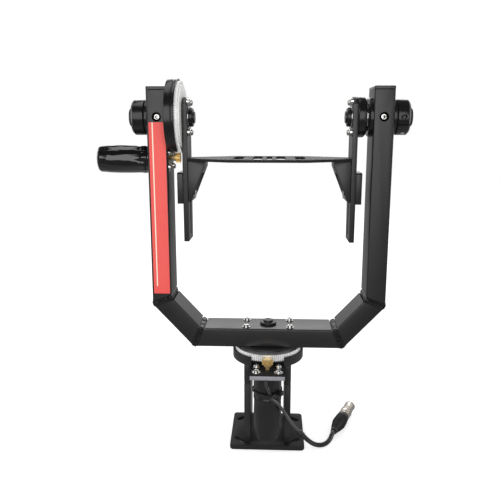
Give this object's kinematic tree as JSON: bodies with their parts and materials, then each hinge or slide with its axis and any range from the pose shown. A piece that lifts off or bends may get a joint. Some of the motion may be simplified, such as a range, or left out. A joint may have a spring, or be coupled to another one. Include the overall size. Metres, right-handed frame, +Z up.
{
  "type": "remote pan tilt head",
  "caption": "Motorised pan and tilt camera head: geared base, U-shaped tube yoke, tilting cradle with a height-adjustable slotted camera platform, motor lead and connector.",
  "frame": {"origin": "on the pan axis, in the plane of the base plate's underside", "axes": "+Z up along the pan axis; +X along the tilt axis, to the right as seen from the front; +Y to the back, so the pan motor is at -Y"},
  "size_m": [0.473, 0.1723, 0.5705],
  "materials": {
    "black_coat": "satin black powder coat, fine grain",
    "black_anodised": "satin black anodised",
    "black_wrap": "glossy black shrink wrap with folds",
    "black_plastic": "smooth black moulded plastic",
    "bright_aluminium": "machined, bright",
    "steel": "ground, bright",
    "nickel": "nickel plated, satin",
    "brass": "machined",
    "rubber": "matte"
  },
  "bodies": {
    "base": {"base_plate": "black_anodised", "left_side_bracket": "black_anodised", "right_side_bracket": "black_anodised", "pan_motor_plate": "black_anodised", "pan_drum": "black_anodised", "pan_bearing": "steel", "pan_gearbox": "black_wrap", "pan_motor": "black_wrap", "motor_cable_tie": "black_plastic", "motor_lead": "black_plastic", "lead_splice": "black_plastic", "signal_cable": "rubber", "connector_boot": "rubber", "connector_shell": "nickel"},
    "yoke": {"left_upright": "black_coat", "left_diagonal": "black_coat", "bottom_bar": "black_coat", "right_diagonal": "black_coat", "right_upright": "black_coat", "left_end_cap": "black_plastic", "right_end_cap": "black_plastic", "pan_gear": "bright_aluminium", "pan_hub_flange": "black_anodised", "pan_shaft": "steel", "pan_retainer": "black_anodised", "pan_cap_nut": "black_anodised", "tilt_drum": "black_anodised", "tilt_bearing": "steel", "tilt_gearbox": "black_wrap", "tilt_motor": "black_wrap", "left_outer_housing": "black_anodised", "left_outer_bearing": "steel", "right_outer_housing": "black_anodised", "right_outer_bearing": "steel", "right_inner_housing": "black_anodised", "right_inner_bearing": "steel"},
    "cradle": {"left_arm": "black_coat", "right_arm": "black_coat", "tilt_gear": "bright_aluminium", "tilt_hub_flange": "bright_aluminium", "left_shaft": "steel", "right_shaft": "steel", "left_shaft_nut": "black_anodised", "right_shaft_nut": "black_anodised", "right_hub": "black_anodised", "right_spacer": "steel", "left_clamp_collar": "black_anodised", "right_clamp_collar": "black_anodised"},
    "platform": {"camera_platform": "black_coat", "left_gusset": "black_coat", "right_gusset": "black_coat", "left_clamp_plate": "black_coat", "right_clamp_plate": "black_coat", "left_clamp_bolt_lower": "nickel", "left_clamp_bolt_upper": "nickel", "right_clamp_bolt_lower": "nickel", "right_clamp_bolt_upper": "nickel"},
    "pan_pinion": {"pan_pinion": "brass"},
    "tilt_pinion": {"tilt_pinion": "brass"}
  },
  "joints": [
    {"name": "pan", "type": "hinge", "parent": "base", "child": "yoke", "pos_m": [0, 0, 0.138], "axis": [0, 0, 1], "continuous": true},
    {"name": "tilt", "type": "hinge", "parent": "yoke", "child": "cradle", "pos_m": [0, 0, 0.514], "axis": [1, 0, 0], "continuous": true},
    {"name": "platform_height", "type": "slide", "parent": "cradle", "child": "platform", "axis": [0, 0, 1], "range_m": [-0.055, 0.01]},
    {"name": "pan_pinion_spin", "type": "hinge", "parent": "base", "child": "pan_pinion", "pos_m": [0, -0.0595, 0.138], "axis": [0, 0, 1], "continuous": true},
    {"name": "tilt_pinion_spin", "type": "hinge", "parent": "yoke", "child": "tilt_pinion", "pos_m": [-0.15, 0, 0.4545], "axis": [1, 0, 0], "continuous": true}
  ],
  "couplings": [
    {"joint": "pan_pinion_spin", "follows": "pan", "ratio": -6.9333},
    {"joint": "tilt_pinion_spin", "follows": "tilt", "ratio": -6.9333}
  ]
}
